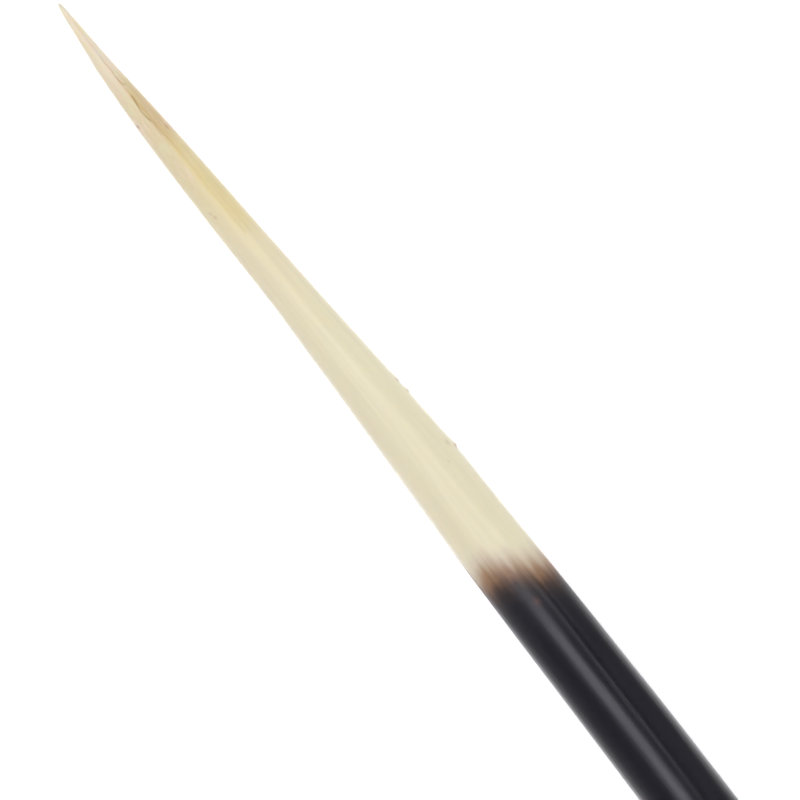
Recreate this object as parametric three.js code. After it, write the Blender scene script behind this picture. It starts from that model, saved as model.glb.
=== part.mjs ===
// Crested porcupine quill: one tapered spine of keratin, lying on a surface on its flatter side.
// Millimetres, +Z up. +X runs from the root to the point. The origin is under the middle of the
// quill's box, on the surface that the quill lies on.

import * as THREE from "three";

// ---- Driving dimensions ----
const LENGTH = 205;
const SIDES = 24; // facets round the shaft
const RINGS_PER_STRETCH = 4; // rings from one station to the next

// Stations from the point to the root, as [distance from the point, width, how far the centre
// line lies towards -Y]. A fine needle swells into a slim blade, the blade into the stout bowed
// shaft, and a soft shoulder leads to the thin neck and the bulb that sat in the skin.
const STATIONS = [
  [0, 0, 0],
  [0.12, 0.22, 0],
  [1.5, 0.6, 0],
  [3, 0.84, 0.01],
  [6, 1.37, 0.02],
  [9, 1.82, 0.15],
  [12, 2.22, 0.31],
  [16, 2.55, 0.52],
  [22, 2.96, 0.9],
  [28, 3.32, 1.29],
  [36, 4.13, 1.73],
  [44, 4.94, 2.13],
  [51, 5.37, 2.31],
  [60, 5.69, 2.58],
  [75, 6.05, 3.03],
  [95, 6.2, 3.28],
  [124, 6.16, 3.14],
  [154, 5.8, 2.36],
  [174, 5.26, 1.48],
  [186, 4.66, 0.83],
  [191, 4.0, 0.53],
  [195, 2.9, 0.28],
  [198, 2.05, 0.09],
  [201, 1.75, -0.1],
  [203.5, 1.8, -0.27],
  [204.7, 1.25, -0.36],
  [LENGTH, 0, -0.38],
];

// Height over width of the section: the point is a flatter blade, and the shaft is nearly round.
const BLADE_FLATNESS = 0.84;
const SHAFT_FLATNESS = 0.94;
const BLADE_LENGTH = 60;

// Height of the centre line. Where the shaft is thicker than twice this, it is lifted so that its
// underside lies along the surface. The point and the root are thinner and stand clear of it.
const AXIS_HEIGHT = 2.5;

// Dark bands, as the distances from the point where each begins and ends.
const DARK_BANDS = [
  [55.6, 103],
  [119, 149],
];
const BAND_BLUR = 1.6;
const CREAM = new THREE.Color(0xe6dec0);
const DARK = new THREE.Color(0x28272b);

/** The rings of the quill from point to root, as {along, halfWidth, towardsMinusY}. */
function rings() {
  const curve = new THREE.CatmullRomCurve3(
    STATIONS.map(([along, width, side]) => new THREE.Vector3(width / 2, along, side)),
    false,
    "centripetal",
  );
  const last = (STATIONS.length - 1) * RINGS_PER_STRETCH;
  return Array.from({ length: last + 1 }, (_, i) => {
    const { x, y, z } = curve.getPoint(i / last);
    const closed = i === 0 || i === last;
    return { along: y, halfWidth: closed ? 0 : x, towardsMinusY: z };
  });
}

/** Height over width of the section at a distance from the point. */
function flatness(along) {
  const share = THREE.MathUtils.smoothstep(along, 0, BLADE_LENGTH);
  return THREE.MathUtils.lerp(BLADE_FLATNESS, SHAFT_FLATNESS, share);
}

/** The colour of the keratin at a distance from the point. */
function bandColour(along) {
  const darkness = DARK_BANDS.map(([from, to]) => {
    const entered = THREE.MathUtils.smoothstep(along, from - BAND_BLUR, from + BAND_BLUR);
    const left = THREE.MathUtils.smoothstep(along, to - BAND_BLUR, to + BAND_BLUR);
    return entered * (1 - left);
  });
  return CREAM.clone().lerp(DARK, Math.max(...darkness));
}

/**
 * A lathed spindle with one facet straight down, whose rings are then flattened, set along the
 * bowed centre line and lifted into the shape of the quill.
 */
function quillGeometry() {
  const halfFacet = Math.PI / SIDES;
  const quillRings = rings();
  const outline = quillRings.map(({ along, halfWidth }) => new THREE.Vector2(halfWidth, along));
  const spindle = new THREE.LatheGeometry(outline, SIDES, halfFacet);
  const position = spindle.getAttribute("position");
  const colours = new Float32Array(position.count * 3);
  for (let i = 0; i < position.count; i++) {
    // A lathe lists its vertices one meridian after another, each in the outline's order.
    const { along, halfWidth, towardsMinusY } = quillRings[i % quillRings.length];
    const up = position.getZ(i) * flatness(along);
    const depth = halfWidth * Math.cos(halfFacet) * flatness(along);
    const height = Math.max(AXIS_HEIGHT, depth) + up;
    position.setXYZ(i, -along, position.getX(i) - towardsMinusY, height);
    bandColour(along).toArray(colours, i * 3);
  }
  spindle.setAttribute("color", new THREE.BufferAttribute(colours, 3));
  spindle.computeVertexNormals();
  spindle.computeBoundingBox();
  const { min, max } = spindle.boundingBox;
  spindle.translate(-(min.x + max.x) / 2, -(min.y + max.y) / 2, -min.z);
  return spindle;
}

const quill = new THREE.Mesh(
  quillGeometry(),
  new THREE.MeshStandardMaterial({ vertexColors: true, roughness: 0.35, metalness: 0 }),
);
quill.name = "quill";

const group = new THREE.Group();
group.add(quill);

export default group;
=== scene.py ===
"""The looks of a crested porcupine quill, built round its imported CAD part.

The quill lies along X with its point towards +X, on its flatter side. Its surface is one closed
sheet worked out on a grid of two parameters: the distance from the point, called `along`, and the
angle round the shaft, called `angle`, which is zero on top and grows towards -Y. Lengths that
describe the quill are in millimetres and are turned to metres when the mesh is made.
"""

from __future__ import annotations

import logging
import math
from dataclasses import dataclass
from enum import Enum
from typing import Sequence

import bpy
import numpy as np
from mathutils import Matrix, Vector

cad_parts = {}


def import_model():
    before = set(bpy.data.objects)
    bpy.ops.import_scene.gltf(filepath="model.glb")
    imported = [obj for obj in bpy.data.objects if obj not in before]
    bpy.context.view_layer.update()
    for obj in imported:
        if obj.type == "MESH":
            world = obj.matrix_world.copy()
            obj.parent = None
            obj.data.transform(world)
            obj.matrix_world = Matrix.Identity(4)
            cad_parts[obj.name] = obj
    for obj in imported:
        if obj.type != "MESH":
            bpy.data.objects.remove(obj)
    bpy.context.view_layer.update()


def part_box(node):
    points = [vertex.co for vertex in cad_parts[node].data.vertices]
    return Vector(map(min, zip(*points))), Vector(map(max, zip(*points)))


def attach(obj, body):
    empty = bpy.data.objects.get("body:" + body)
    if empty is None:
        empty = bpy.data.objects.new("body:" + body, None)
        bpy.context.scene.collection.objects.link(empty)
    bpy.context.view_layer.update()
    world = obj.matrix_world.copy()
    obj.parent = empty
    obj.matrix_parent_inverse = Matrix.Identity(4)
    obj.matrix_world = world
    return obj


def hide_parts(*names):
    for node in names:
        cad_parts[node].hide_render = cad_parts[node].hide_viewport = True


Array = np.ndarray
Colour = tuple[float, float, float]

MM = 0.001
WHITE: Colour = (1.0, 1.0, 1.0)
COOL: Colour = (0.97, 0.96, 1.06)
NODE = "quill"
BODY = "root"

log = logging.getLogger("quill")


class Mark(Enum):
    """Names of the values that the surface carries for its material to read."""

    SHAFT = "shaft"
    DARK_DEPTH = "dark_depth"
    STAIN = "stain"
    CRACK_AND_SHADE = "crack"
    BLEMISH_AND_SHADOW = "blemish_and_shadow"


def smoothstep(low: float, high: float, value: Array) -> Array:
    """Eases from 0 at low to 1 at high, as 3 x squared less 2 x cubed.

    Args:
        low: Where the rise begins. It may be above high, for a fall.
        high: Where the rise ends.
        value: The values to ease.

    Returns:
        An array of shares from 0 to 1.
    """
    share = np.clip((value - low) / (high - low), 0.0, 1.0)
    return share * share * (3.0 - 2.0 * share)


def bell(value: Array, spread: float) -> Array:
    """A bell of height 1 round zero: e to the power of minus half the square of value/spread."""
    return np.exp(-0.5 * (value / spread) ** 2)


def turn_between(angle: Array, centre: Array | float) -> Array:
    """The smallest turn from centre to angle, in radians, from minus half a turn to half a turn."""
    return (angle - centre + np.pi) % (2.0 * np.pi) - np.pi


@dataclass(frozen=True)
class Groove:
    """One shallow flute that runs down the shaft, or one low rib where the depth is below zero.

    Attributes:
        path: Its course, as (distance from the point in mm, angle in degrees).
        depth: How deep it is, in mm.
        spread: Its spread round the shaft, in degrees.
    """

    path: tuple[tuple[float, float], ...]
    depth: float
    spread: float


@dataclass(frozen=True)
class Crack:
    """A hairline crack beside a slightly lifted scale of the skin.

    Attributes:
        path: Corners of the crack, as (distance from the point in mm, angle in degrees).
        width: Half the width of the groove, in mm.
        depth: How deep the groove is, in mm.
        lip: How high the skin on the side of larger angles is lifted, in mm.
        lip_reach: How far from the crack the lift dies away, in mm.
        darkness: How dark the groove is, from 0 to 1.
    """

    path: tuple[tuple[float, float], ...]
    width: float
    depth: float
    lip: float
    lip_reach: float
    darkness: float


@dataclass(frozen=True)
class Spot:
    """A small dull red or brown spot, with or without a pit, or a dab of painted shadow.

    Attributes:
        along: The distance of its middle from the point, in mm.
        angle: Its angle round the shaft, in degrees.
        length: Its size along the shaft, in mm.
        width: Its size round the shaft, in mm.
        strength: How strong its colour is, from 0 to 1.
        pit: How deep its pit is, in mm.
    """

    along: float
    angle: float
    length: float
    width: float
    strength: float
    pit: float = 0.0


@dataclass(frozen=True)
class Flake:
    """A scale of skin that lifts along the shaft and breaks off short.

    Attributes:
        start: Where the lift begins, in mm from the point.
        end: Where the scale breaks off, in mm from the point.
        angle: Its middle, in degrees round the shaft.
        spread: Its spread round the shaft, in degrees.
        height: Its height at the broken end, in mm.
    """

    start: float
    end: float
    angle: float
    spread: float
    height: float


@dataclass(frozen=True)
class Wrinkles:
    """Fine lengthwise wrinkles of the neck above the root.

    Attributes:
        count: How many there are round the neck.
        depth: How deep they are, in mm.
        fade_in: Where they set in, as two distances from the point.
        fade_out: Where they end, as two distances from the point.
        lean: How far they turn round the neck in a mm of length, in degrees.
        darkness: How dark the painted shade in their valleys is, from 0 to 1.
    """

    count: int = 9
    depth: float = 0.07
    fade_in: tuple[float, float] = (184.0, 196.0)
    fade_out: tuple[float, float] = (204.9, 203.0)
    lean: float = 1.5
    darkness: float = 0.45

    def valleys(self, along: Array, angle: Array) -> Array:
        """How far into a valley a place is: half of 1 less a cosine round the neck.

        Args:
            along: Distances from the point.
            angle: Angles round the shaft.

        Returns:
            Shares from 0 on a wrinkle's crest to 1 in its valley.
        """
        turned = self.count * (angle + math.radians(self.lean) * along)
        strength = smoothstep(*self.fade_in, along) * smoothstep(*self.fade_out, along)
        return strength * (1.0 - np.cos(turned)) / 2.0


@dataclass(frozen=True)
class Outline:
    """The quill's size along its length, with the stations of the CAD part.

    Attributes:
        stations: From the point to the root, (distance from the point, width, how far the centre
            line lies towards -Y), in mm.
        samples: Points worked out from one station to the next.
    """

    stations: tuple[tuple[float, float, float], ...]
    samples: int = 48

    def curve(self) -> Array:
        """Draws the smooth curve through the stations.

        The curve is a centripetal Catmull-Rom spline: on each stretch it is the cubic whose ends
        are two stations, and whose end slopes are the slopes of the parabolas through the
        neighbouring stations when each is reached after a time equal to the square root of the
        distance from the last.

        Returns:
            An array with rows of (half width, distance from the point, offset towards -Y).
        """
        along, width, side = np.array(self.stations, float).T
        knots = np.column_stack([width / 2.0, along, side])
        before = 2.0 * knots[:1] - knots[1:2]
        after = 2.0 * knots[-1:] - knots[-2:-1]
        padded = np.vstack([before, knots, after])
        p0, p1, p2, p3 = padded[:-3], padded[1:-2], padded[2:-1], padded[3:]
        d0, d1, d2 = (
            np.sqrt(np.linalg.norm(b - a, axis=1))[:, None]
            for a, b in ((p0, p1), (p1, p2), (p2, p3))
        )
        slope1 = ((p1 - p0) / d0 - (p2 - p0) / (d0 + d1) + (p2 - p1) / d1) * d1
        slope2 = ((p2 - p1) / d1 - (p3 - p1) / (d1 + d2) + (p3 - p2) / d2) * d1
        t = np.linspace(0.0, 1.0, self.samples, endpoint=False)[None, :, None]
        p1, p2, slope1, slope2 = (a[:, None, :] for a in (p1, p2, slope1, slope2))
        points = (
            (2 * t**3 - 3 * t**2 + 1) * p1
            + (t**3 - 2 * t**2 + t) * slope1
            + (3 * t**2 - 2 * t**3) * p2
            + (t**3 - t**2) * slope2
        )
        return np.vstack([points.reshape(-1, 3), knots[-1:]])

    def at(self, along: Array) -> tuple[Array, Array]:
        """Reads the outline.

        Args:
            along: Distances from the point, in mm.

        Returns:
            The half width and the centre line's offset towards -Y at each distance.
        """
        half_width, distance, side = self.curve().T
        return np.interp(along, distance, half_width), np.interp(along, distance, side)


@dataclass(frozen=True)
class Edge:
    """One end of a dark band.

    Attributes:
        along: Its distance from the point in the middle of the top, in mm.
        slant: How much further from the point it lies on the -Y side than in the middle, in mm.
        tongues: Places where the dark reaches further out, or falls short where the reach is
            below zero, as (angle in degrees, reach in mm, spread in degrees).
    """

    along: float
    slant: float
    tongues: tuple[tuple[float, float, float], ...] = ()

    def place(self, angle: Array) -> Array:
        """Where the edge runs: its middle, plus the slant times the sine, less its tongues.

        Args:
            angle: Angles round the shaft.

        Returns:
            Distances from the point.
        """
        reach = sum(
            depth * bell(turn_between(angle, math.radians(centre)), math.radians(spread))
            for centre, depth, spread in self.tongues
        )
        return self.along + self.slant * np.sin(angle) - reach


@dataclass(frozen=True)
class Bands:
    """The dark bands of the shaft, each with the edge nearer the point first."""

    bands: tuple[tuple[Edge, Edge], ...]

    def depth(self, along: Array, angle: Array) -> Array:
        """How deep inside a dark band a place is: the distance to the band's nearer edge.

        Args:
            along: Distances from the point.
            angle: Angles round the shaft.

        Returns:
            Depths in mm. They are negative outside the bands.
        """
        depths = [
            np.minimum(along - begin.place(angle), end.place(angle) - along)
            for begin, end in self.bands
        ]
        return np.maximum.reduce(depths)


@dataclass(frozen=True)
class Relief:
    """Everything that stands out of or sinks into the smooth outline of the shaft.

    Attributes:
        grooves: The flutes that run down the shaft.
        cracks: Hairline cracks near the point, and one faint line of painted shade along the
            blade's crease.
        flakes: Lifted scales.
        spots: Spots, some with pits, two of them painted shadow under the broken ends of lifted
            scales.
        wrinkles: The wrinkles of the neck.
        grooves_from: Where the flutes fade in, as two distances from the point.
        grooves_to: Where the flutes fade out, as two distances from the point.
        wander: How far a flute strays to the side along the shaft, in degrees.
        wander_length: The length of one stray, in mm.
        ridge_angle: Where the blade's soft ridge runs, in degrees.
        ridge_height: How far the ridge stands out, as a share of the half width.
        ridge_spread: The ridge's spread round the blade, in degrees.
        valley_spread: The spread of the wide valley that the ridge stands in, in degrees.
        valley_share: The valley's depth as a share of the ridge's height.
        ridge_fade: Where the ridge fades out, as two distances from the point.
        ripple: The height of the uneven swells of the skin, in mm.
        swell_turns: How many swells of each wave lie round the shaft.
        swell_lengths: The shortest and the longest swell, in mm.
        crack_run_in: Over what length a scale lifts at either end of its crack, in mm.
        flake_break: Over what length a scale drops at its broken end, in mm.
        spot_spread: The spread of a spot's bell, as a share of the spot's own size.
        full_relief: The half width from which the relief has its full height, in mm.
        seed: Sets the flutes' strays and the swells.
    """

    grooves: tuple[Groove, ...]
    cracks: tuple[Crack, ...]
    flakes: tuple[Flake, ...]
    spots: tuple[Spot, ...]
    wrinkles: Wrinkles = Wrinkles()
    grooves_from: tuple[float, float] = (18.0, 62.0)
    grooves_to: tuple[float, float] = (198.0, 186.0)
    wander: float = 1.2
    wander_length: float = 46.0
    ridge_angle: float = 14.0
    ridge_height: float = 0.055
    ridge_spread: float = 16.0
    valley_spread: float = 42.0
    valley_share: float = 0.6
    ridge_fade: tuple[float, float] = (58.0, 16.0)
    ripple: float = 0.012
    swell_turns: tuple[int, ...] = (1, 2, 3, 5)
    swell_lengths: tuple[float, float] = (5.0, 17.0)
    crack_run_in: float = 0.5
    flake_break: float = 0.12
    spot_spread: float = 0.5
    full_relief: float = 1.0
    seed: int = 7

    def flutes(self, along: Array, angle: Array) -> Array:
        """The grooves: minus the sum of bells round each groove's line, which strays as a sine.

        Args:
            along: Distances from the point.
            angle: Angles round the shaft.

        Returns:
            Heights in mm.
        """
        rng = np.random.default_rng(self.seed)
        strength = smoothstep(*self.grooves_from, along) * smoothstep(*self.grooves_to, along)
        height = np.zeros(np.broadcast(along, angle).shape)
        for groove in self.grooves:
            phase = rng.uniform(0.0, 2.0 * np.pi)
            stray = math.radians(self.wander) * np.sin(
                2.0 * np.pi * along / self.wander_length + phase
            )
            course = np.radians(np.interp(along, *np.array(groove.path).T))
            off = turn_between(angle, course + stray)
            height -= groove.depth * bell(off, math.radians(groove.spread))
        return height * strength

    def ridge(self, along: Array, angle: Array, half_width: Array) -> Array:
        """The blade's soft ridge: a narrow bell in angle, less a share of a wider one.

        Args:
            along: Distances from the point.
            angle: Angles round the shaft.
            half_width: Half the width of the shaft at each place.

        Returns:
            Heights in mm.
        """
        off = turn_between(angle, math.radians(self.ridge_angle))
        valley = bell(off, math.radians(self.valley_spread))
        shape = bell(off, math.radians(self.ridge_spread)) - self.valley_share * valley
        return self.ridge_height * half_width * smoothstep(*self.ridge_fade, along) * shape

    def swells(self, along: Array, angle: Array) -> Array:
        """Uneven swells: the mean of sine waves, each with a random length and phase.

        Args:
            along: Distances from the point.
            angle: Angles round the shaft.

        Returns:
            Heights in mm.
        """
        rng = np.random.default_rng(self.seed + 1)
        height = np.zeros(np.broadcast(along, angle).shape)
        for turns in self.swell_turns:
            length, phase = rng.uniform(*self.swell_lengths), rng.uniform(0.0, 2.0 * np.pi)
            height += np.sin(2.0 * np.pi * along / length + turns * angle + phase)
        return height * self.ripple / len(self.swell_turns)

    def crack_fields(self, along: Array, angle: Array, half_width: Array) -> tuple[Array, Array]:
        """Works out the cracks' relief and darkness.

        A place's distance to a crack is the distance to the nearest of its straight stretches,
        on the skin rolled out flat. The groove is a bell in that distance. The lip dies away
        with e to the power of minus distance over reach, on the side of larger angles.

        Args:
            along: Distances from the point.
            angle: Angles round the shaft.
            half_width: Half the width of the shaft at each place.

        Returns:
            Heights in mm, and darkness from 0 to 1.
        """
        height = np.zeros(np.broadcast(along, angle).shape)
        dark = np.zeros_like(height)
        signed = turn_between(angle, 0.0)
        for crack in self.cracks:
            corners = np.array(crack.path, float)
            radius = float(np.interp(corners[:, 0].mean(), along[:, 0], half_width[:, 0]))
            corners[:, 1] = np.radians(corners[:, 1]) * radius
            x, y = np.broadcast_arrays(along, signed * radius)
            nearest = np.full(height.shape, np.inf)
            above = np.zeros(height.shape)
            for (ax, ay), (bx, by) in zip(corners[:-1], corners[1:]):
                dx, dy = bx - ax, by - ay
                share = np.clip(((x - ax) * dx + (y - ay) * dy) / (dx * dx + dy * dy), 0.0, 1.0)
                gap = np.hypot(x - ax - share * dx, y - ay - share * dy)
                closer = gap < nearest
                nearest = np.where(closer, gap, nearest)
                above = np.where(closer, (y - ay) * dx - (x - ax) * dy > 0.0, above)
            first, last, run_in = corners[0, 0], corners[-1, 0], self.crack_run_in
            within = smoothstep(first, first + run_in, along)
            within = within * smoothstep(last, last - run_in, along)
            groove = bell(nearest, crack.width)
            height += crack.lip * np.exp(-nearest / crack.lip_reach) * above * within
            height -= crack.depth * groove
            dark = np.maximum(dark, crack.darkness * groove)
        return height, dark

    def flake_field(self, along: Array, angle: Array) -> Array:
        """Lifted scales: each rises as a square from its start and drops at its broken end.

        Args:
            along: Distances from the point.
            angle: Angles round the shaft.

        Returns:
            Heights in mm.
        """
        height = np.zeros(np.broadcast(along, angle).shape)
        for flake in self.flakes:
            share = np.clip((along - flake.start) / (flake.end - flake.start), 0.0, 1.0)
            broken = smoothstep(flake.end + self.flake_break, flake.end, along)
            off = turn_between(angle, math.radians(flake.angle))
            height += flake.height * share**2 * broken * bell(off, math.radians(flake.spread))
        return height

    def spot_fields(self, along: Array, angle: Array, half_width: Array) -> tuple[Array, Array]:
        """Spots and pits: a bell in the distance from each spot, measured in the spot's own size.

        Args:
            along: Distances from the point.
            angle: Angles round the shaft.
            half_width: Half the width of the shaft at each place.

        Returns:
            Heights in mm, and the strength of the spots and painted shadows, from 0 to 1.
        """
        height = np.zeros(np.broadcast(along, angle).shape)
        blemish_and_shadow = np.zeros_like(height)
        for spot in self.spots:
            off = turn_between(angle, math.radians(spot.angle)) * half_width
            size = np.hypot((along - spot.along) / spot.length, off / spot.width)
            mark = bell(size, self.spot_spread)
            height -= spot.pit * mark
            blemish_and_shadow = np.maximum(blemish_and_shadow, spot.strength * mark)
        return height, blemish_and_shadow


@dataclass(frozen=True)
class Stain:
    """The amber stain on the -Y side of the blade, which thins out into straw-coloured streaks.

    Attributes:
        rise: Where it sets in, as two distances from the point.
        fall: Where it thins out, as two distances from the point.
        thinned: The share of its strength that it loses there.
        end: Where it ends, as two distances from the point.
        edge: The angles over which it sets in near the ridge, in degrees.
        far_edge: The angles over which it fades underneath, in degrees.
    """

    rise: tuple[float, float] = (6.2, 9.6)
    fall: tuple[float, float] = (12.4, 15.5)
    thinned: float = 0.35
    end: tuple[float, float] = (23.6, 21.0)
    edge: tuple[float, float] = (0.0, 9.0)
    far_edge: tuple[float, float] = (80.0, 42.0)

    def strength(self, along: Array, angle: Array) -> Array:
        """The strength of the stain: a product of eased steps along and round the blade.

        Args:
            along: Distances from the point.
            angle: Angles round the shaft.

        Returns:
            Strengths from 0 to 1.
        """
        off = np.degrees(turn_between(angle, 0.0))
        thinning = 1.0 - self.thinned * smoothstep(*self.fall, along)
        lengthwise = smoothstep(*self.rise, along) * thinning * smoothstep(*self.end, along)
        across = smoothstep(*self.edge, off) * smoothstep(*self.far_edge, off)
        return lengthwise * across


@dataclass(frozen=True)
class Remap:
    """A range of numbers that becomes another, held at its ends.

    Attributes:
        low: Where the first range begins. It may be above high.
        high: Where the first range ends.
        to_low: What low becomes.
        to_high: What high becomes.
        eased: Whether the change eases in and out.
    """

    low: float
    high: float
    to_low: float = 0.0
    to_high: float = 1.0
    eased: bool = False


@dataclass(frozen=True)
class Grain:
    """Soft noise stretched along the shaft.

    Attributes:
        along: How often it changes in a millimetre of length.
        around: How often it changes in a turn of one radian.
        detail: How many finer layers it has.
    """

    along: float
    around: float
    detail: float


@dataclass(frozen=True)
class KeratinFinish:
    """The quill's one material: smooth keratin with bands, stains and hairline cracks.

    Colours are linear red, green and blue. A share is how much of a colour is laid on.

    Attributes:
        name: The material's name.
        skin: The skin's colours, each at a distance from the point in mm.
        fringe: The colours of a band's end, each at a depth inside the band in mm.
        pink: The warm cream of broad patches, also laid on the shaft's +Y side as painted shade.
        rust: The rusty patches of the fringe.
        amber: The stain near the point.
        straw: The stain where it thins out.
        crack: The colour in cracks, and of the painted shade in the neck's wrinkle valleys and
            along the blade's crease near the point.
        blemish_and_shadow: The colour of spots, also of the painted shadow under the flakes' broken
            ends.
        olive: The greenish mottling of the blade.
        blade_pink: The pinkish mottling of the blade.
        fine: The noise of fine streaks.
        broad: The noise of broad patches.
        hair: The noise of the finest grain, which is in the bump only.
        thread: The noise that breaks the stain into threads.
        mottle: The noise of the blade's mottling.
        pink_share: Share of pink by broad noise.
        painted_side_shade: Painted shade: share of pink by the sine of the angle, which makes the
            +Y side darker and pinker.
        blade_share: How much of the mottling shows, by distance from the point.
        mottle_pink: Share of blade pink by mottling noise.
        mottle_olive: Share of olive by mottling noise.
        streaks: Brightness of the skin by fine noise.
        stain_streaks: Strength of the stain by thread noise.
        amber_to_straw: Share of straw in the stain by distance from the point.
        ragged_broad: How far broad noise moves a band's edge, in mm.
        ragged_fine: How far fine noise moves a band's edge, in mm.
        fringe_share: Share of the fringe's colours by depth inside a band.
        rust_rise: Where the rust sets in, by depth.
        rust_fall: Where the rust ends, by depth.
        rust_patches: Share of rust by broad noise.
        crack_gaps: Strength of cracks by fine noise.
        gloss_change: Roughness by depth, duller on the pale skin and glossier in a band.
        gloss_streaks: Change of the roughness by fine noise.
        sheen: Sheen by depth. Only the pale skin has it.
        sheen_roughness: How soft the sheen is.
        ior: Index of refraction of keratin.
        translucence: How much light goes under the skin, from 0 to 1.
        light_depth: How far it goes, in metres.
        light_depth_colour: How far each of red, green and blue goes, as a share of that.
        bump_strength: Strength of the grain's bump.
        bump_height: Height of the grain, in metres.
    """

    name: str = "quill_keratin"
    skin: tuple[tuple[float, Colour], ...] = (
        (0.0, (0.500, 0.500, 0.450)),
        (0.7, (0.640, 0.620, 0.530)),
        (1.6, (0.710, 0.665, 0.565)),
        (3.0, (0.750, 0.695, 0.590)),
        (4.5, (0.765, 0.710, 0.595)),
        (7.5, (0.745, 0.660, 0.470)),
        (10.5, (0.690, 0.570, 0.350)),
        (14.0, (0.695, 0.585, 0.345)),
        (18.0, (0.735, 0.640, 0.365)),
        (22.0, (0.755, 0.675, 0.425)),
        (27.0, (0.770, 0.705, 0.480)),
        (34.0, (0.770, 0.722, 0.505)),
        (150.0, (0.765, 0.710, 0.490)),
        (180.0, (0.755, 0.680, 0.430)),
        (194.0, (0.700, 0.570, 0.310)),
        (199.0, (0.560, 0.380, 0.170)),
        (203.5, (0.330, 0.180, 0.070)),
    )
    fringe: tuple[tuple[float, Colour], ...] = (
        (-2.7, (0.740, 0.680, 0.510)),
        (-1.7, (0.660, 0.580, 0.430)),
        (-0.8, (0.480, 0.380, 0.270)),
        (-0.4, (0.375, 0.270, 0.180)),
        (0.0, (0.250, 0.160, 0.105)),
        (0.6, (0.125, 0.074, 0.050)),
        (1.1, (0.070, 0.043, 0.032)),
        (1.8, (0.028, 0.020, 0.020)),
        (2.8, (0.0110, 0.0102, 0.0150)),
    )
    pink: Colour = (0.735, 0.665, 0.475)
    rust: Colour = (0.370, 0.200, 0.095)
    amber: Colour = (0.600, 0.445, 0.215)
    straw: Colour = (0.740, 0.620, 0.290)
    crack: Colour = (0.340, 0.205, 0.032)
    blemish_and_shadow: Colour = (0.370, 0.145, 0.095)
    olive: Colour = (0.720, 0.670, 0.430)
    blade_pink: Colour = (0.780, 0.660, 0.500)
    fine: Grain = Grain(0.16, 7.0, 3.0)
    broad: Grain = Grain(0.07, 2.0, 1.5)
    hair: Grain = Grain(0.35, 26.0, 3.0)
    thread: Grain = Grain(0.11, 15.0, 2.0)
    mottle: Grain = Grain(0.55, 2.6, 2.0)
    pink_share: Remap = Remap(0.42, 0.70, 0.0, 0.40)
    # Painted shade on the +Y side of the shaft.
    painted_side_shade: Remap = Remap(0.25, -0.75, 0.0, 0.40, eased=True)
    blade_share: Remap = Remap(26.0, 8.0, eased=True)
    mottle_pink: Remap = Remap(0.50, 0.62, 0.0, 0.95, eased=True)
    mottle_olive: Remap = Remap(0.47, 0.37, 0.0, 0.90, eased=True)
    streaks: Remap = Remap(0.3, 0.7, 0.975, 1.02)
    stain_streaks: Remap = Remap(0.38, 0.60, 0.40, 1.15)
    amber_to_straw: Remap = Remap(11.5, 16.0, eased=True)
    ragged_broad: Remap = Remap(0.3, 0.7, -0.45, 0.45)
    ragged_fine: Remap = Remap(0.3, 0.7, -0.28, 0.28)
    fringe_share: Remap = Remap(-3.4, -1.7, eased=True)
    rust_rise: Remap = Remap(-1.6, -0.2, eased=True)
    rust_fall: Remap = Remap(1.3, 0.1, eased=True)
    rust_patches: Remap = Remap(0.42, 0.64, 0.0, 0.55)
    crack_gaps: Remap = Remap(0.35, 0.60, 0.45, 1.0)
    gloss_change: Remap = Remap(0.5, 7.5, 0.50, 0.32)
    gloss_streaks: Remap = Remap(0.3, 0.7, -0.03, 0.03)
    sheen: Remap = Remap(-1.0, -4.0, 0.0, 0.5)
    sheen_roughness: float = 0.4
    ior: float = 1.5
    translucence: float = 0.5
    light_depth: float = 0.001
    light_depth_colour: Colour = (1.0, 0.8, 0.5)
    bump_strength: float = 0.4
    bump_height: float = 0.000012

    def material(self) -> bpy.types.Material:
        """Builds the node tree.

        Returns:
            The new material.
        """
        bench = NodeBench(self.name)
        shaft = bench.vector(Mark.SHAFT)
        fine = bench.noise(shaft, self.fine)
        broad = bench.noise(shaft, self.broad)
        skin = self.pale_skin(bench, shaft, fine, broad)
        ragged = bench.add(
            bench.value(Mark.DARK_DEPTH),
            bench.add(
                bench.remap(broad, self.ragged_broad), bench.remap(fine, self.ragged_fine)
            ),
        )
        skin = self.banded(bench, skin, ragged, broad)
        gaps = bench.remap(fine, self.crack_gaps)
        # Cracks darken the skin; the same mark lays painted shade in the neck's wrinkle valleys and
        # along the crease near the point.
        skin = bench.blend(bench.multiply(bench.value(Mark.CRACK_AND_SHADE), gaps), skin, self.crack)
        # Spots, and painted shadow under the flakes' broken ends.
        skin = bench.blend(bench.value(Mark.BLEMISH_AND_SHADOW), skin, self.blemish_and_shadow)
        rough = bench.add(
            bench.remap(ragged, self.gloss_change), bench.remap(fine, self.gloss_streaks)
        )
        hair = bench.noise(shaft, self.hair)
        bench.link(skin, bench.shader.inputs["Base Color"])
        bench.link(rough, bench.shader.inputs["Roughness"])
        bench.link(
            bench.bump(hair, self.bump_strength, self.bump_height), bench.shader.inputs["Normal"]
        )
        bench.link(bench.remap(ragged, self.sheen), bench.shader.inputs["Sheen Weight"])
        bench.shader.inputs["Sheen Roughness"].default_value = self.sheen_roughness
        bench.shader.inputs["IOR"].default_value = self.ior
        bench.shader.inputs["Subsurface Weight"].default_value = self.translucence
        bench.shader.inputs["Subsurface Scale"].default_value = self.light_depth
        bench.shader.inputs["Subsurface Radius"].default_value = self.light_depth_colour
        return bench.material

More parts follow.
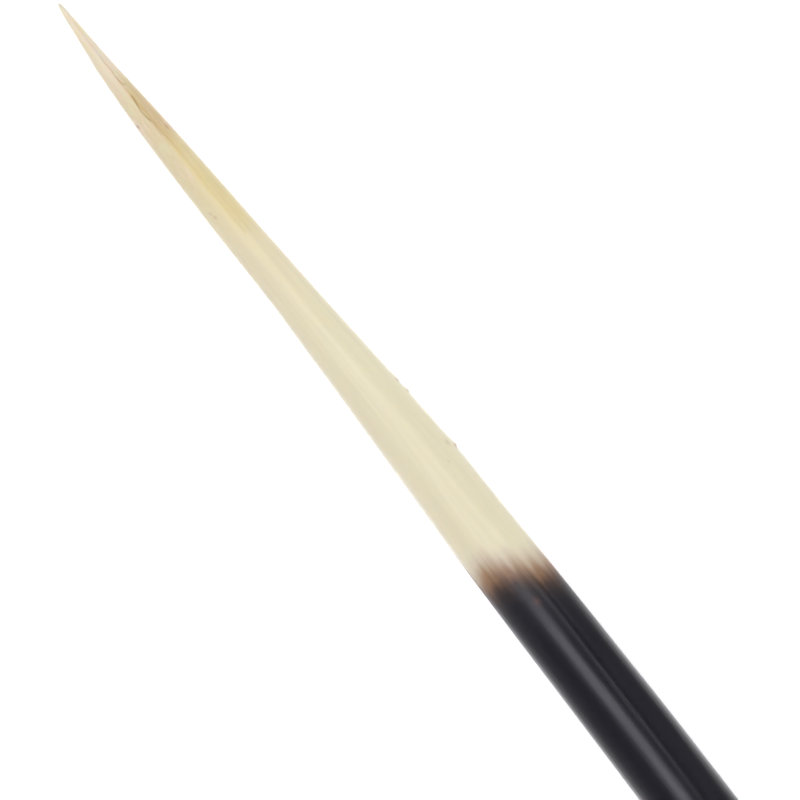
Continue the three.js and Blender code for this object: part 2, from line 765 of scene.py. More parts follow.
    def pale_skin(
        self,
        bench: NodeBench,
        shaft: bpy.types.NodeSocket,
        fine: bpy.types.NodeSocket,
        broad: bpy.types.NodeSocket,
    ) -> bpy.types.NodeSocket:
        """The pale colours along the shaft, with faint streaks, the amber stain and painted shade
        on the +Y side.

        Args:
            bench: The material's bench.
            shaft: The place on the shaft.
            fine: Fine noise.
            broad: Broad noise.

        Returns:
            The colour.
        """
        along = bench.part(shaft, 0)
        pale = bench.ramp(along, self.skin)
        pale = bench.blend(bench.remap(broad, self.pink_share), pale, self.pink)
        # Painted shade: the +Y side is laid darker and pinker, by the sine of the angle.
        pale = bench.blend(bench.remap(bench.part(shaft, 1), self.painted_side_shade), pale, self.pink)
        mottle = bench.noise(shaft, self.mottle)
        on_blade = bench.remap(along, self.blade_share)
        for patches, colour in (
            (self.mottle_pink, self.blade_pink),
            (self.mottle_olive, self.olive),
        ):
            share = bench.multiply(bench.remap(mottle, patches), on_blade)
            pale = bench.blend(share, pale, colour)
        pale = bench.scale(pale, bench.remap(fine, self.streaks))
        stained = bench.blend(bench.remap(along, self.amber_to_straw), self.amber, self.straw)
        threads = bench.remap(bench.noise(shaft, self.thread), self.stain_streaks)
        share = bench.multiply(bench.value(Mark.STAIN), threads)
        return bench.blend(share, pale, stained)

    def banded(
        self,
        bench: NodeBench,
        skin: bpy.types.NodeSocket,
        ragged: bpy.types.NodeSocket,
        broad: bpy.types.NodeSocket,
    ) -> bpy.types.NodeSocket:
        """Lays the dark bands over the skin, through a tan and rusty fringe.

        Args:
            bench: The material's bench.
            skin: The colour so far.
            ragged: The depth inside a band, with ragged edges.
            broad: Broad noise.

        Returns:
            The colour.
        """
        dark = bench.ramp(ragged, self.fringe)
        rust_zone = bench.multiply(
            bench.remap(ragged, self.rust_rise), bench.remap(ragged, self.rust_fall)
        )
        rusty = bench.multiply(rust_zone, bench.remap(broad, self.rust_patches))
        dark = bench.blend(rusty, dark, self.rust)
        return bench.blend(bench.remap(ragged, self.fringe_share), skin, dark)


class NodeBench:
    """A short way to lay out a material's nodes. Every method returns an output socket."""

    def __init__(self, name: str) -> None:
        """Starts a material with a principled shader that is wired to the output.

        Args:
            name: The material's name.
        """
        self.material = bpy.data.materials.new(name)
        self.material.use_nodes = True
        self.tree = self.material.node_tree
        self.tree.nodes.clear()
        self.shader = self.tree.nodes.new("ShaderNodeBsdfPrincipled")
        output = self.tree.nodes.new("ShaderNodeOutputMaterial")
        self.link(self.shader.outputs["BSDF"], output.inputs["Surface"])

    def link(self, source: bpy.types.NodeSocket, target: bpy.types.NodeSocket) -> None:
        """Wires one socket to another."""
        self.tree.links.new(source, target)

    def feed(self, source: object, target: bpy.types.NodeSocket) -> None:
        """Gives a socket a wire, a number or a colour.

        Args:
            source: An output socket, a number or a colour.
            target: The input socket.
        """
        if isinstance(source, bpy.types.NodeSocket):
            self.link(source, target)
        elif isinstance(source, float):
            target.default_value = source
        else:
            target.default_value = (*source, 1.0)

    def carried(self, mark: Mark) -> bpy.types.Node:
        """Makes a node that reads one of the values that the surface carries.

        Args:
            mark: Which value it reads.

        Returns:
            The node.
        """
        node = self.tree.nodes.new("ShaderNodeAttribute")
        node.attribute_name = mark.value
        return node

    def vector(self, mark: Mark) -> bpy.types.NodeSocket:
        """Reads a vector that the surface carries."""
        return self.carried(mark).outputs["Vector"]

    def value(self, mark: Mark) -> bpy.types.NodeSocket:
        """Reads a number that the surface carries."""
        return self.carried(mark).outputs["Fac"]

    def part(self, vector: bpy.types.NodeSocket, index: int) -> bpy.types.NodeSocket:
        """Takes one number out of a vector.

        Args:
            vector: The vector.
            index: Which number it is, from 0.

        Returns:
            The number.
        """
        node = self.tree.nodes.new("ShaderNodeSeparateXYZ")
        self.link(vector, node.inputs["Vector"])
        return node.outputs[index]

    def noise(self, shaft: bpy.types.NodeSocket, grain: Grain) -> bpy.types.NodeSocket:
        """Soft noise on the shaft, from 0 to 1.

        Args:
            shaft: The place on the shaft.
            grain: The noise's stretch and detail.

        Returns:
            The noise.
        """
        mapping = self.tree.nodes.new("ShaderNodeMapping")
        mapping.inputs["Scale"].default_value = (grain.along, grain.around, grain.around)
        node = self.tree.nodes.new("ShaderNodeTexNoise")
        node.inputs["Scale"].default_value = 1.0
        node.inputs["Detail"].default_value = grain.detail
        self.link(shaft, mapping.inputs["Vector"])
        self.link(mapping.outputs["Vector"], node.inputs["Vector"])
        return node.outputs["Fac"]

    def remap(self, source: bpy.types.NodeSocket, change: Remap) -> bpy.types.NodeSocket:
        """Maps a range of numbers to another and holds it at its ends.

        Args:
            source: The number.
            change: The two ranges.

        Returns:
            The mapped number.
        """
        node = self.tree.nodes.new("ShaderNodeMapRange")
        node.interpolation_type = "SMOOTHSTEP" if change.eased else "LINEAR"
        self.link(source, node.inputs["Value"])
        node.inputs["From Min"].default_value = change.low
        node.inputs["From Max"].default_value = change.high
        node.inputs["To Min"].default_value = change.to_low
        node.inputs["To Max"].default_value = change.to_high
        return node.outputs["Result"]

    def joined(self, operation: str, first: object, second: object) -> bpy.types.NodeSocket:
        """Joins two numbers with one operation.

        Args:
            operation: The operation's name.
            first: A number or a socket.
            second: A number or a socket.

        Returns:
            The result.
        """
        node = self.tree.nodes.new("ShaderNodeMath")
        node.operation = operation
        self.feed(first, node.inputs[0])
        self.feed(second, node.inputs[1])
        return node.outputs["Value"]

    def add(self, first: object, second: object) -> bpy.types.NodeSocket:
        """The sum of two numbers."""
        return self.joined("ADD", first, second)

    def multiply(self, first: object, second: object) -> bpy.types.NodeSocket:
        """The product of two numbers."""
        return self.joined("MULTIPLY", first, second)

    def blend(self, share: object, first: object, second: object) -> bpy.types.NodeSocket:
        """Mixes two colours.

        Args:
            share: The share of the second colour.
            first: A colour or a colour socket.
            second: A colour or a colour socket.

        Returns:
            The mixed colour.
        """
        node = self.tree.nodes.new("ShaderNodeMix")
        node.data_type = "RGBA"
        self.feed(share, self.colour_socket(node, "Factor_Float"))
        self.feed(first, self.colour_socket(node, "A_Color"))
        self.feed(second, self.colour_socket(node, "B_Color"))
        return next(output for output in node.outputs if output.identifier == "Result_Color")

    def colour_socket(self, node: bpy.types.Node, identifier: str) -> bpy.types.NodeSocket:
        """Finds an input of a mixing node, whose inputs share their plain names."""
        return next(socket for socket in node.inputs if socket.identifier == identifier)

    def scale(self, colour: bpy.types.NodeSocket, factor: object) -> bpy.types.NodeSocket:
        """Scales a colour's brightness.

        Args:
            colour: The colour.
            factor: A number or a socket.

        Returns:
            The scaled colour.
        """
        node = self.tree.nodes.new("ShaderNodeVectorMath")
        node.operation = "SCALE"
        self.link(colour, node.inputs[0])
        self.feed(factor, node.inputs["Scale"])
        return node.outputs["Vector"]

    def ramp(
        self, place: bpy.types.NodeSocket, stops: Sequence[tuple[float, Colour]]
    ) -> bpy.types.NodeSocket:
        """A colour that changes from stop to stop.

        Args:
            place: The place on the ramp, in the stops' own unit.
            stops: Places and colours in order.

        Returns:
            The colour.
        """
        first, last = stops[0][0], stops[-1][0]
        node = self.tree.nodes.new("ShaderNodeValToRGB")
        elements = node.color_ramp.elements
        while len(elements) < len(stops):
            elements.new(1.0)
        for element, (stop, colour) in zip(elements, stops):
            element.position = (stop - first) / (last - first)
            element.color = (*colour, 1.0)
        self.link(self.remap(place, Remap(first, last)), node.inputs["Fac"])
        return node.outputs["Color"]

    def bump(
        self, height: bpy.types.NodeSocket, strength: float, distance: float
    ) -> bpy.types.NodeSocket:
        """Turns a height into a normal.

        Args:
            height: The height, from 0 to 1.
            strength: How strong the bump is.
            distance: The height in metres of a value of 1.

        Returns:
            The normal.
        """
        node = self.tree.nodes.new("ShaderNodeBump")
        node.inputs["Strength"].default_value = strength
        node.inputs["Distance"].default_value = distance
        self.link(height, node.inputs["Height"])
        return node.outputs["Normal"]


@dataclass(frozen=True)
class Quill:
    """The whole quill as one closed surface.

    Attributes:
        outline: Its width and centre line along its length.
        bands: Its dark bands.
        relief: What stands out of and sinks into it.
        stain: Its amber stain.
        finish: Its material.
        columns: Points round the shaft.
        blade_flatness: Height over width of the section at the point.
        shaft_flatness: Height over width of the section of the shaft.
        blade_length: Over what length the one becomes the other, in mm.
        axis_height: Height of the centre line. Where the shaft is thicker than twice this, it is
            lifted so that its underside lies along the surface.
        ring_steps: From one distance to the next, the step between rings, in mm.
        stretches: The ends of the stretches that the baking map lays in rows, in mm.
        map_margin: The margin round a row of the baking map, as a share of the map.
        fit_samples: How many places of the outline are looked at to fit it in its box.
    """

    outline: Outline
    bands: Bands
    relief: Relief
    stain: Stain
    finish: KeratinFinish
    columns: int = 128
    blade_flatness: float = 0.84
    shaft_flatness: float = 0.94
    blade_length: float = 60.0
    axis_height: float = 2.5
    ring_steps: tuple[tuple[float, float], ...] = (
        (0.0, 0.03),
        (0.21, 0.06),
        (16.0, 0.22),
        (37.0, 0.12),
        (47.0, 0.25),
        (80.0, 1.0),
        (184.0, 0.40),
        (204.4, 0.05),
    )
    stretches: tuple[float, ...] = (0.0, 16.0, 36.0, 62.0, 100.0, 150.0, 205.0)
    map_margin: float = 0.004
    fit_samples: int = 4001

    @property
    def length(self) -> float:
        """The distance from the point to the root, in mm."""
        return self.outline.stations[-1][0]

    def ring_places(self) -> Array:
        """Spaces the rings between the two closed ends, each stretch with its own step.

        Returns:
            Their distances from the point, in mm.
        """
        starts = [start for start, _ in self.ring_steps]
        ends = starts[1:] + [self.length]
        runs = [
            np.arange(start, end - step / 2.0, step)
            for (start, step), end in zip(self.ring_steps, ends)
        ]
        return np.concatenate(runs)[1:]

    def section(self, along: Array) -> tuple[Array, Array, Array, Array]:
        """Sizes the section at each ring.

        Args:
            along: Distances from the point.

        Returns:
            Half width, half height, the centre's offset towards -Y and the centre's height.
        """
        half_width, side = self.outline.at(along)
        share = smoothstep(0.0, self.blade_length, along)
        flatness = self.blade_flatness + (self.shaft_flatness - self.blade_flatness) * share
        half_height = half_width * flatness
        return half_width, half_height, side, np.maximum(self.axis_height, half_height)

    def surface(self, along: Array, angle: Array) -> tuple[Array, Array]:
        """Places the surface.

        A ring is an ellipse about the centre line. A point at an angle lies towards -Y by the
        half width times the sine, and up by the half height times the cosine. The relief then
        moves it straight out by its height.

        Args:
            along: Distances from the point, as a column.
            angle: Angles round the shaft, as a row.

        Returns:
            Places in mm with the point at x zero, and the value of every mark by name.
        """
        half_width, half_height, side, centre = self.section(along)
        crack_height, crack = self.relief.crack_fields(along, angle, half_width)
        spot_height, blemish_and_shadow = self.relief.spot_fields(along, angle, half_width)
        wrinkles = self.relief.wrinkles
        valleys = wrinkles.valleys(along, angle)
        height = (
            self.relief.flutes(along, angle)
            + self.relief.ridge(along, angle, half_width)
            + self.relief.swells(along, angle)
            + self.relief.flake_field(along, angle)
            - wrinkles.depth * valleys
            + crack_height
            + spot_height
        )
        height = height * smoothstep(0.0, self.relief.full_relief, half_width)
        y = -(side + (half_width + height) * np.sin(angle))
        z = centre + (half_height + height) * np.cos(angle)
        x = np.broadcast_to(-along, y.shape)
        marks = {
            Mark.SHAFT: np.stack(
                np.broadcast_arrays(along, np.sin(angle), np.cos(angle)), axis=-1
            ),
            Mark.DARK_DEPTH: self.bands.depth(along, angle),
            Mark.STAIN: self.stain.strength(along, angle),
            # The crack mark also carries painted shade in the wrinkles' valleys.
            Mark.CRACK_AND_SHADE: np.maximum(crack, wrinkles.darkness * valleys**2),
            Mark.BLEMISH_AND_SHADOW: blemish_and_shadow,
        }
        return np.stack([x, y, z], axis=-1), marks

    def faces(self, rings: int) -> tuple[Array, Array]:
        """Joins the rings into quads and closes both ends with triangles.

        Args:
            rings: The number of rings. The two end points come after the rings' points.

        Returns:
            Quads and triangles, as vertex numbers. Both face outwards.
        """
        ring = np.arange(rings - 1)[:, None] * self.columns
        column = np.arange(self.columns)
        following = (column + 1) % self.columns
        quads = np.stack(
            [
                ring + column,
                ring + following,
                ring + self.columns + following,
                ring + self.columns + column,
            ],
            axis=-1,
        ).reshape(-1, 4)
        point, root = rings * self.columns, rings * self.columns + 1
        last = (rings - 1) * self.columns
        at_point = np.stack([np.full(self.columns, point), following, column], axis=-1)
        at_root = np.stack([np.full(self.columns, root), last + column, last + following], axis=-1)
        return quads, np.vstack([at_point, at_root])

    def baking_map(self, along: Array, rings: int) -> Array:
        """Lays the skin out flat in rows, one for each stretch of the quill.

        Along a row, u is the share of the stretch. Up a row, v is the share of the turn round
        the shaft. A small margin keeps the rows apart.

        Args:
            along: Distances from the point of the rings.
            rings: The number of rings. It is not used.

        Returns:
            The place on the map of every face corner, quads first.
        """
        margin = self.map_margin
        rows = len(self.stretches) - 1
        start = np.array(self.stretches[:-1])
        end = np.array(self.stretches[1:])

        def place(distance: Array, row: Array, turn: Array) -> Array:
            """Finds a place on the map.

            Args:
                distance: Distances from the point.
                row: The rows that they lie in.
                turn: Shares of the turn round the shaft.

            Returns:
                The places as (u, v).
            """
            share = (distance - start[row]) / (end[row] - start[row])
            u = margin + (1.0 - 2.0 * margin) * np.clip(share, 0.0, 1.0)
            v = (row + margin * rows + (1.0 - 2.0 * margin * rows) * turn) / rows
            return np.stack(np.broadcast_arrays(u, v), axis=-1)

        middle = (along[:-1] + along[1:]) / 2.0
        row = np.clip(np.searchsorted(start, middle, side="right") - 1, 0, rows - 1)[:, None]
        turn = np.arange(self.columns)[None, :] / self.columns
        step = 1.0 / self.columns
        upper, lower = along[:-1, None], along[1:, None]
        quads = np.stack(
            [
                place(upper, row, turn),
                place(upper, row, turn + step),
                place(lower, row, turn + step),
                place(lower, row, turn),
            ],
            axis=2,
        ).reshape(-1, 2)
        first, last = np.array([0]), np.array([rows - 1])
        flat = turn[0]
        at_point = np.stack(
            [
                place(np.zeros(1), first, flat + step / 2.0),
                place(along[:1], first, flat + step),
                place(along[:1], first, flat),
            ],
            axis=1,
        ).reshape(-1, 2)
        at_root = np.stack(
            [
                place(np.full(1, self.length), last, flat + step / 2.0),
                place(along[-1:], last, flat),
                place(along[-1:], last, flat + step),
            ],
            axis=1,
        ).reshape(-1, 2)
        return np.vstack([quads, at_point, at_root])

    def build(self) -> bpy.types.Object:
        """Makes the quill, sets it in the CAD part's box and puts it in that part's place.

        Returns:
            The quill's object.
        """
        along = self.ring_places()
        angle = np.arange(self.columns) * 2.0 * np.pi / self.columns + np.pi
        places, marks = self.surface(along[:, None], angle[None, :])
        end_places = np.array([0.0, self.length])
        _, _, side, centre = self.section(end_places)
        ends = np.column_stack([-end_places, -side, centre])
        points = self.into_box(np.vstack([places.reshape(-1, 3), ends]))

        mesh = bpy.data.meshes.new("porcupine_quill")
        quads, triangles = self.faces(len(along))
        fill_mesh(mesh, points, (quads, triangles))
        for mark, values in marks.items():
            self.write_mark(mesh, mark, values)
        layer = mesh.uv_layers.new(name="OFBake", do_init=False)
        layer.data.foreach_set("uv", self.baking_map(along, len(along)).astype(np.float32).ravel())
        mesh.materials.append(self.finish.material())
        quill = bpy.data.objects.new("porcupine_quill", mesh)
        bpy.context.scene.collection.objects.link(quill)
        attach(quill, BODY)
        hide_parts(NODE)
        log.info("quill: %d points, %d faces", len(points), len(quads) + len(triangles))
        return quill

    def into_box(self, points: Array) -> Array:
        """Moves the quill so that its length and centre line fit the CAD part's box.

        Args:
            points: Every point, in mm, with the point of the quill at x zero.

        Returns:
            The points in metres, in the part's own frame.
        """
        low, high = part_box(NODE)
        half_width, _, side, _ = self.section(np.linspace(0.0, self.length, self.fit_samples))
        smooth_middle = ((-side - half_width).min() + (-side + half_width).max()) / 2.0
        box_middle = (low.y + high.y) / 2.0 / MM
        moved = points + np.array([high.x / MM, box_middle - smooth_middle, 0.0])
        moved[:, 2] = np.maximum(moved[:, 2], low.z / MM)
        return moved * MM

    def write_mark(self, mesh: bpy.types.Mesh, mark: Mark, values: Array) -> None:
        """Stores one mark on the points. The two end points take the mean of their ring.

        Args:
            mesh: The quill's mesh.
            mark: Which mark it is.
            values: Its value at each ring and column.
        """
        kind = "FLOAT_VECTOR" if mark is Mark.SHAFT else "FLOAT"
        ends = np.stack([values[0].mean(axis=0), values[-1].mean(axis=0)])
        if mark is Mark.SHAFT:
            data = np.vstack([values.reshape(-1, 3), ends])
        else:
            data = np.concatenate([values.reshape(-1), ends])
        attribute = mesh.attributes.new(mark.value, kind, "POINT")
        field = "vector" if mark is Mark.SHAFT else "value"
        attribute.data.foreach_set(field, data.astype(np.float32).ravel())


def fill_mesh(mesh: bpy.types.Mesh, points: Array, face_groups: Sequence[Array]) -> None:
    """Puts points and faces into a mesh and shades it smooth.

    Args:
        mesh: An empty mesh.
        points: Places in metres.
        face_groups: Arrays of vertex numbers, one array for each number of corners.
    """
    corners = np.concatenate([faces.ravel() for faces in face_groups])
    counts = np.concatenate([np.full(len(faces), faces.shape[1]) for faces in face_groups])
    mesh.vertices.add(len(points))
    mesh.vertices.foreach_set("co", points.astype(np.float32).ravel())
    mesh.loops.add(len(corners))
    mesh.loops.foreach_set("vertex_index", corners.astype(np.int32))
    mesh.polygons.add(len(counts))
    starts = np.concatenate([[0], np.cumsum(counts)[:-1]])
    mesh.polygons.foreach_set("loop_start", starts.astype(np.int32))
    mesh.update(calc_edges=True)
    mesh.validate()
    mesh.shade_smooth()


@dataclass(frozen=True)
class Floor:
    """A plain white table that glows faintly, like a light table.

    Attributes:
        size: Its width and length, in metres.
        colour: Its colour.
        roughness: How dull it is, from 0 to 1.
        glow: How strongly it glows.
    """

    size: float = 6.0
    colour: Colour = (0.86, 0.86, 0.86)
    roughness: float = 0.9
    glow: float = 0.50

    def build(self) -> bpy.types.Object:
        """Makes the table top at height zero.

        Returns:
            The table's object.
        """
        half = self.size / 2.0
        corners = np.array([[-half, -half, 0], [half, -half, 0], [half, half, 0], [-half, half, 0]])
        mesh = bpy.data.meshes.new("table")
        fill_mesh(mesh, corners, (np.array([[0, 1, 2, 3]]),))
        material = bpy.data.materials.new("white_table")
        material.use_nodes = True
        shader = material.node_tree.nodes["Principled BSDF"]
        shader.inputs["Base Color"].default_value = (*self.colour, 1.0)
        shader.inputs["Roughness"].default_value = self.roughness
        shader.inputs["Specular IOR Level"].default_value = 0.0
        shader.inputs["Emission Color"].default_value = (*WHITE, 1.0)
        shader.inputs["Emission Strength"].default_value = self.glow
        mesh.materials.append(material)
        table = bpy.data.objects.new("table", mesh)
        bpy.context.scene.collection.objects.link(table)
        log.info("table: %.1f m across", self.size)
        return table


@dataclass(frozen=True)
class SoftLight:
    """One rectangular soft light that faces a spot on the table.

    Attributes:
        name: Its name.
        place: Its centre, in metres.
        length: Its longer side, in metres.
        width: Its shorter side, in metres.
        power: Its power in watts.
        colour: Its colour.
        aim: The spot that it faces.
    """

    name: str
    place: tuple[float, float, float]
    length: float
    width: float
    power: float
    colour: Colour = WHITE
    aim: tuple[float, float, float] = (0.04, 0.0, 0.0)

    def build(self) -> None:
        """Makes the light and turns it to its aim, with its longer side as near X as it can be."""
        data = bpy.data.lights.new(self.name, "AREA")
        data.shape = "RECTANGLE"
        data.size = self.length
        data.size_y = self.width
        data.energy = self.power
        data.color = self.colour
        light = bpy.data.objects.new(self.name, data)
        towards = Vector(self.aim) - Vector(self.place)
        back = -towards.normalized()
        sideways = (Vector((1.0, 0.0, 0.0)) - back * back.x).normalized()
        upright = back.cross(sideways)
        light.matrix_world = Matrix.Translation(self.place) @ Matrix(
            (sideways, upright, back)
        ).transposed().to_4x4()
        light.visible_camera = False
        bpy.context.scene.collection.objects.link(light)
        log.info("light %s: %.2f W", self.name, self.power)


@dataclass(frozen=True)
class Surround:
    """The room round the table. Seen straight by the camera it is plain white.

    Attributes:
        levels: Its brightness, as (sine of the height above the horizon, brightness).
        tint: The colour of its light, which is a little bluish.
    """

    levels: tuple[tuple[float, float], ...] = ((0.0, 0.25), (0.32, 0.24), (0.55, 0.10), (1.0, 0.08))
    tint: Colour = COOL

    def build(self) -> None:
        """Makes the world."""
        world = bpy.data.worlds.new("studio")
        world.use_nodes = True
        tree = world.node_tree
        tree.nodes.clear()
        coordinates = tree.nodes.new("ShaderNodeTexCoord")
        separate = tree.nodes.new("ShaderNodeSeparateXYZ")
        ramp = tree.nodes.new("ShaderNodeValToRGB")
        elements = ramp.color_ramp.elements
        while len(elements) < len(self.levels):
            elements.new(1.0)
        for element, (place, level) in zip(elements, self.levels):
            element.position = place
            element.color = (*(level * part for part in self.tint), 1.0)
        rays = tree.nodes.new("ShaderNodeLightPath")
        mix = tree.nodes.new("ShaderNodeMix")
        mix.data_type = "RGBA"
        inputs = {socket.identifier: socket for socket in mix.inputs}
        mixed = next(socket for socket in mix.outputs if socket.identifier == "Result_Color")
        inputs["B_Color"].default_value = (*WHITE, 1.0)
        background = tree.nodes.new("ShaderNodeBackground")
        output = tree.nodes.new("ShaderNodeOutputWorld")
        tree.links.new(coordinates.outputs["Generated"], separate.inputs["Vector"])
        tree.links.new(separate.outputs["Z"], ramp.inputs["Fac"])
        tree.links.new(rays.outputs["Is Camera Ray"], inputs["Factor_Float"])
        tree.links.new(ramp.outputs["Color"], inputs["A_Color"])
        tree.links.new(mixed, background.inputs["Color"])
        tree.links.new(background.outputs["Background"], output.inputs["Surface"])
        bpy.context.scene.world = world


@dataclass(frozen=True)
class OverheadCamera:
    """A camera that looks straight down on the point and the first band.

    Attributes:
        distance: Height over the centre line, in metres.
        field: Width of the view at the centre line, in metres.
        behind_point: How far the middle of the view lies behind the point, in metres.
        aside: How far it lies towards -Y from the point's own y, in metres.
        roll: Angle from the view's horizontal down to the quill's line, in degrees.
        axis_height: Height of the quill's centre line above the table, in metres.
        sensor: Width of the camera's sensor, in mm.
        clip: The nearest and the furthest that it sees, in metres.
    """

    distance: float = 0.42
    field: float = 0.06125
    behind_point: float = 0.03997
    aside: float = 0.00325
    roll: float = 53.91
    axis_height: float = 0.0025
    sensor: float = 36.0
    clip: tuple[float, float] = (0.01, 20.0)

    def build(self, point: Vector) -> bpy.types.Object:
        """Makes the camera and makes it the scene's.

        Args:
            point: The place of the quill's point.

        Returns:
            The camera's object.
        """
        turn = math.radians(self.roll)
        right = Vector((-math.cos(turn), -math.sin(turn), 0.0))
        up = Vector((math.sin(turn), -math.cos(turn), 0.0))
        back = Vector((0.0, 0.0, 1.0))
        data = bpy.data.cameras.new("camera")
        data.sensor_width = self.sensor
        data.lens = self.sensor * self.distance / self.field
        data.clip_start, data.clip_end = self.clip
        camera = bpy.data.objects.new("camera", data)
        place = (
            point.x - self.behind_point,
            point.y - self.aside,
            self.axis_height + self.distance,
        )
        camera.matrix_world = Matrix.Translation(place) @ Matrix(
            (right, up, back)
        ).transposed().to_4x4()
        bpy.context.scene.collection.objects.link(camera)
        bpy.context.scene.camera = camera
        log.info("camera: %.0f mm lens", data.lens)
        return camera


QUILL = Quill(
    outline=Outline(
        stations=(
            (0.0, 0.0, 0.0),
            (0.12, 0.22, 0.0),
            (1.5, 0.6, 0.0),
            (3.0, 0.84, 0.01),
            (6.0, 1.37, 0.02),
            (9.0, 1.82, 0.15),
            (12.0, 2.22, 0.31),
            (16.0, 2.55, 0.52),
            (22.0, 2.96, 0.9),
            (28.0, 3.32, 1.29),
            (36.0, 4.13, 1.73),
            (44.0, 4.94, 2.13),
            (51.0, 5.37, 2.31),
            (60.0, 5.69, 2.58),
            (75.0, 6.05, 3.03),
            (95.0, 6.2, 3.28),
            (124.0, 6.16, 3.14),
            (154.0, 5.8, 2.36),
            (174.0, 5.26, 1.48),
            (186.0, 4.66, 0.83),
            (191.0, 4.0, 0.53),
            (195.0, 2.9, 0.28),
            (198.0, 2.05, 0.09),
            (201.0, 1.75, -0.1),
            (203.5, 1.8, -0.27),
            (204.7, 1.25, -0.36),
            (205.0, 0.0, -0.38),
        )
    ),
    bands=Bands(
        (
            (
                Edge(
                    along=55.8,
                    slant=1.5,
                    tongues=(
                        (-64.0, -0.75, 13.0),
                        (-37.0, -0.30, 14.0),
                        (-20.0, 0.35, 9.0),
                        (6.0, 0.28, 9.0),
                        (36.0, -0.35, 9.0),
                        (53.0, 0.45, 7.0),
                    ),
                ),
                Edge(along=103.0, slant=-0.9),
            ),
            (Edge(along=119.0, slant=0.7), Edge(along=149.0, slant=1.1)),
        )
    ),
    relief=Relief(
        grooves=(
            Groove(
                path=((32.0, 4.0), (48.0, 9.0), (54.0, 12.5), (60.0, 14.3), (70.0, 12.4)),
                depth=0.022,
                spread=3.6,
            ),
            Groove(
                path=((32.0, 11.5), (48.0, 16.5), (54.0, 20.0), (60.0, 21.8), (70.0, 20.0)),
                depth=-0.055,
                spread=4.5,
            ),
            Groove(((50.0, 38.0), (60.0, 34.0), (70.0, 38.0)), 0.030, 6.0),
            Groove(((0.0, 60.0),), -0.100, 9.0),
            Groove(((0.0, 88.0),), 0.040, 6.0),
            Groove(((0.0, 116.0),), 0.060, 6.0),
            Groove(((0.0, 143.0),), 0.055, 5.5),
            Groove(((0.0, 170.0),), 0.040, 6.0),
            Groove(((0.0, -163.0),), 0.060, 5.5),
            Groove(((0.0, -134.0),), 0.060, 6.0),
            Groove(((0.0, -108.0),), 0.050, 6.0),
            Groove(((0.0, -80.0),), 0.030, 6.0),
            Groove(((0.0, -61.0),), -0.085, 9.5),
            Groove(((0.0, -27.0),), 0.010, 6.0),
        ),
        cracks=(
            Crack(
                path=((12.6, 10.0), (13.6, 18.0), (16.0, 18.0), (18.5, 13.0), (22.6, 12.5)),
                width=0.050,
                depth=0.008,
                lip=0.012,
                lip_reach=0.20,
                darkness=0.16,
            ),
            Crack(
                path=((17.2, 31.0), (18.5, 30.0), (20.0, 27.5), (22.9, 27.5)),
                width=0.035,
                depth=0.005,
                lip=0.008,
                lip_reach=0.20,
                darkness=0.13,
            ),
            Crack(
                path=((14.4, 42.0), (17.0, 41.0), (19.6, 43.0)),
                width=0.040,
                depth=0.005,
                lip=0.006,
                lip_reach=0.20,
                darkness=0.10,
            ),
            # A faint dark line from the point along the blade's crease: painted shade of the
            # crease, on a shallow groove with no lip.
            Crack(
                path=((1.2, 15.0), (3.0, 16.0), (5.4, 18.0)),
                width=0.060,
                depth=0.006,
                lip=0.0,
                lip_reach=0.25,
                darkness=0.22,
            ),
            Crack(
                path=((5.3, 20.0), (5.65, 13.0), (6.4, 17.5), (6.7, 18.0), (6.95, 14.0)),
                width=0.026,
                depth=0.010,
                lip=0.02,
                lip_reach=0.25,
                darkness=0.7,
            ),
            Crack(
                path=((7.1, 13.0), (7.5, 13.0), (7.8, 13.5), (8.05, 19.0), (8.1, 30.0)),
                width=0.028,
                depth=0.012,
                lip=0.02,
                lip_reach=0.25,
                darkness=0.75,
            ),
            Crack(
                path=((9.1, 13.0), (9.4, 12.0), (9.9, 6.0), (10.6, 1.0), (11.25, 4.0), (11.5, 7.0)),
                width=0.038,
                depth=0.018,
                lip=0.03,
                lip_reach=0.35,
                darkness=0.9,
            ),
            Crack(
                path=((11.4, 6.0), (11.75, 11.0), (12.3, 8.0), (12.9, 6.0)),
                width=0.050,
                depth=0.010,
                lip=0.02,
                lip_reach=0.35,
                darkness=0.35,
            ),
        ),
        flakes=(
            Flake(start=37.2, end=38.7, angle=78.0, spread=8.0, height=0.10),
            Flake(start=38.8, end=39.8, angle=80.0, spread=8.0, height=0.13),
            Flake(start=43.6, end=45.3, angle=79.0, spread=8.0, height=0.13),
        ),
        spots=(
            Spot(along=12.55, angle=46.0, length=0.30, width=0.16, strength=0.50, pit=0.004),
            Spot(along=11.3, angle=-61.0, length=0.26, width=0.20, strength=0.75, pit=0.03),
            Spot(along=20.4, angle=-32.0, length=0.20, width=0.12, strength=0.45, pit=0.006),
            Spot(along=20.0, angle=-38.0, length=0.14, width=0.10, strength=0.40, pit=0.004),
            Spot(along=44.7, angle=57.0, length=0.40, width=0.30, strength=0.22),
            Spot(along=45.3, angle=73.0, length=0.30, width=0.30, strength=0.75, pit=0.02),
            # Painted shadows under the broken ends of the first two flakes.
            Spot(along=38.6, angle=73.0, length=0.25, width=0.30, strength=0.45),
            Spot(along=39.7, angle=76.0, length=0.25, width=0.30, strength=0.60),
            Spot(along=45.95, angle=31.0, length=0.25, width=0.10, strength=0.2, pit=0.015),
            Spot(along=58.5, angle=2.5, length=0.50, width=0.35, strength=0.16),
        ),
    ),
    stain=Stain(),
    finish=KeratinFinish(),
)

LIGHTS = (
    SoftLight("soft_box_point", place=(0.62, -0.05, 0.50), length=0.35, width=0.35, power=2.62),
    SoftLight("soft_box_root", place=(-0.55, -0.05, 0.50), length=0.35, width=0.35, power=2.62),
    SoftLight(
        "overhead_strip",
        place=(0.04, 0.065, 0.50),
        length=0.60,
        width=0.21,
        power=1.28,
        colour=COOL,
    ),
)


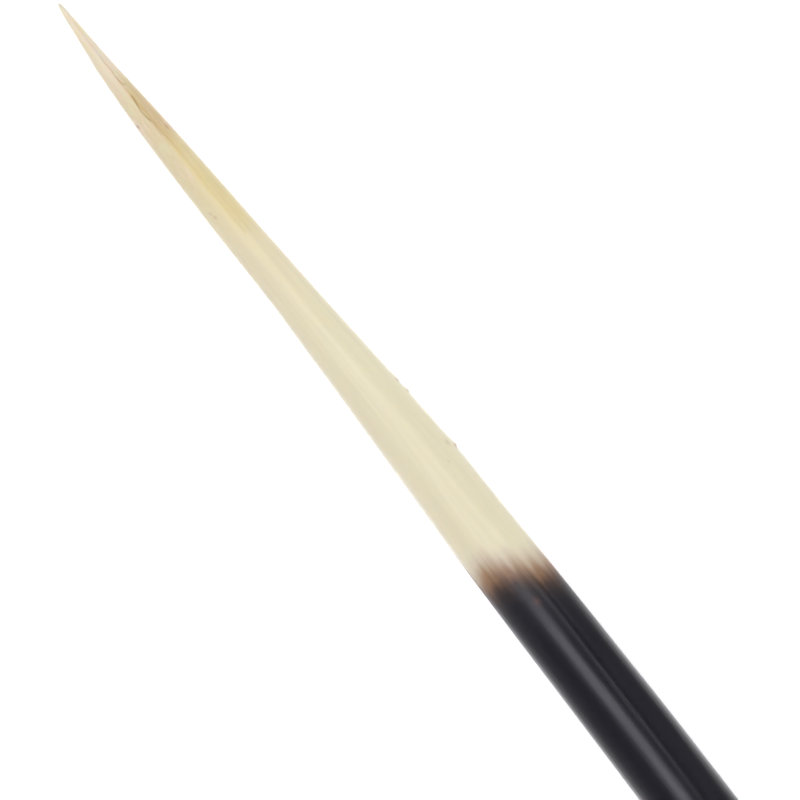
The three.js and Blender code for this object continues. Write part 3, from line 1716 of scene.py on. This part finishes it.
def main() -> None:
    """Builds the part and the studio."""
    logging.basicConfig(level=logging.INFO, format="%(name)s: %(message)s")
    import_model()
    quill = QUILL.build()
    Floor().build()
    Surround().build()
    for light in LIGHTS:
        light.build()
    # The mesh lists the quill's two ends last, the point before the root.
    OverheadCamera().build(quill.data.vertices[-2].co)
    bpy.context.scene.view_settings.view_transform = "Standard"


if __name__ == "__main__":
    main()
